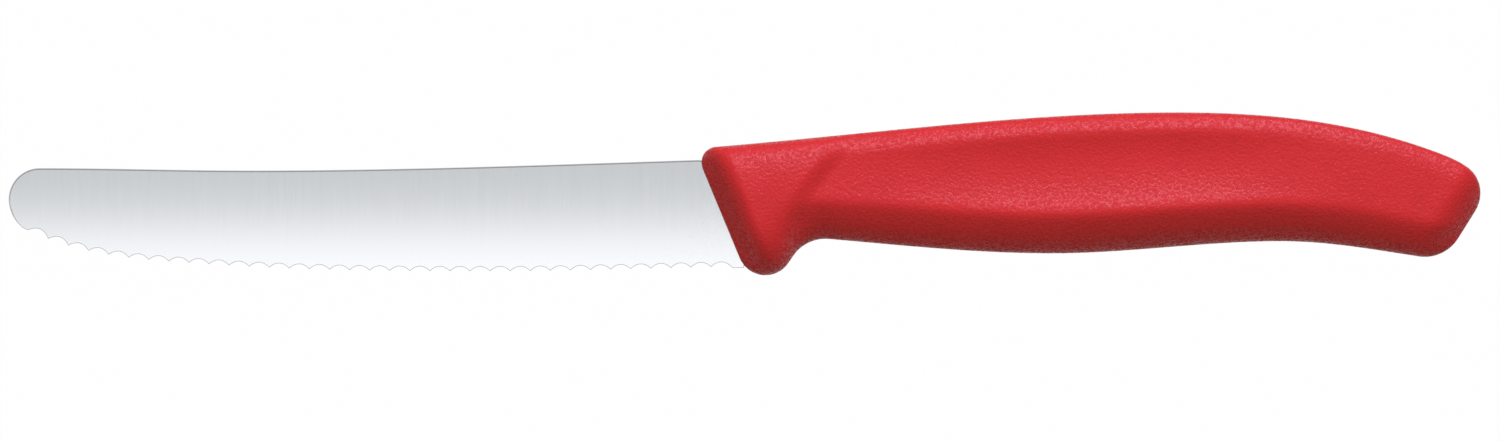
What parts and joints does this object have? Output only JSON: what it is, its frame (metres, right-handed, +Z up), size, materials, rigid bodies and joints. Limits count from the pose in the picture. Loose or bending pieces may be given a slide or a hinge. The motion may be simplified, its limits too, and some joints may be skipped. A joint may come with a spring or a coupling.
{
  "type": "tomato knife",
  "caption": "Small kitchen knife with a round-tipped, wavy-edged steel blade moulded into a contoured red plastic handle, for slicing tomatoes and other soft food.",
  "frame": {"origin": "on the surface that the knife lies on, below the centre of its bounding box", "axes": "+X from the tip to the butt, +Y from the edge to the spine, +Z up, out of the blade's left side"},
  "size_m": [0.2206, 0.0244, 0.0126],
  "materials": {
    "steel": "satin",
    "red_plastic": "satin"
  },
  "bodies": {
    "root": {"blade": "steel", "handle": "red_plastic"}
  },
  "joints": []
}
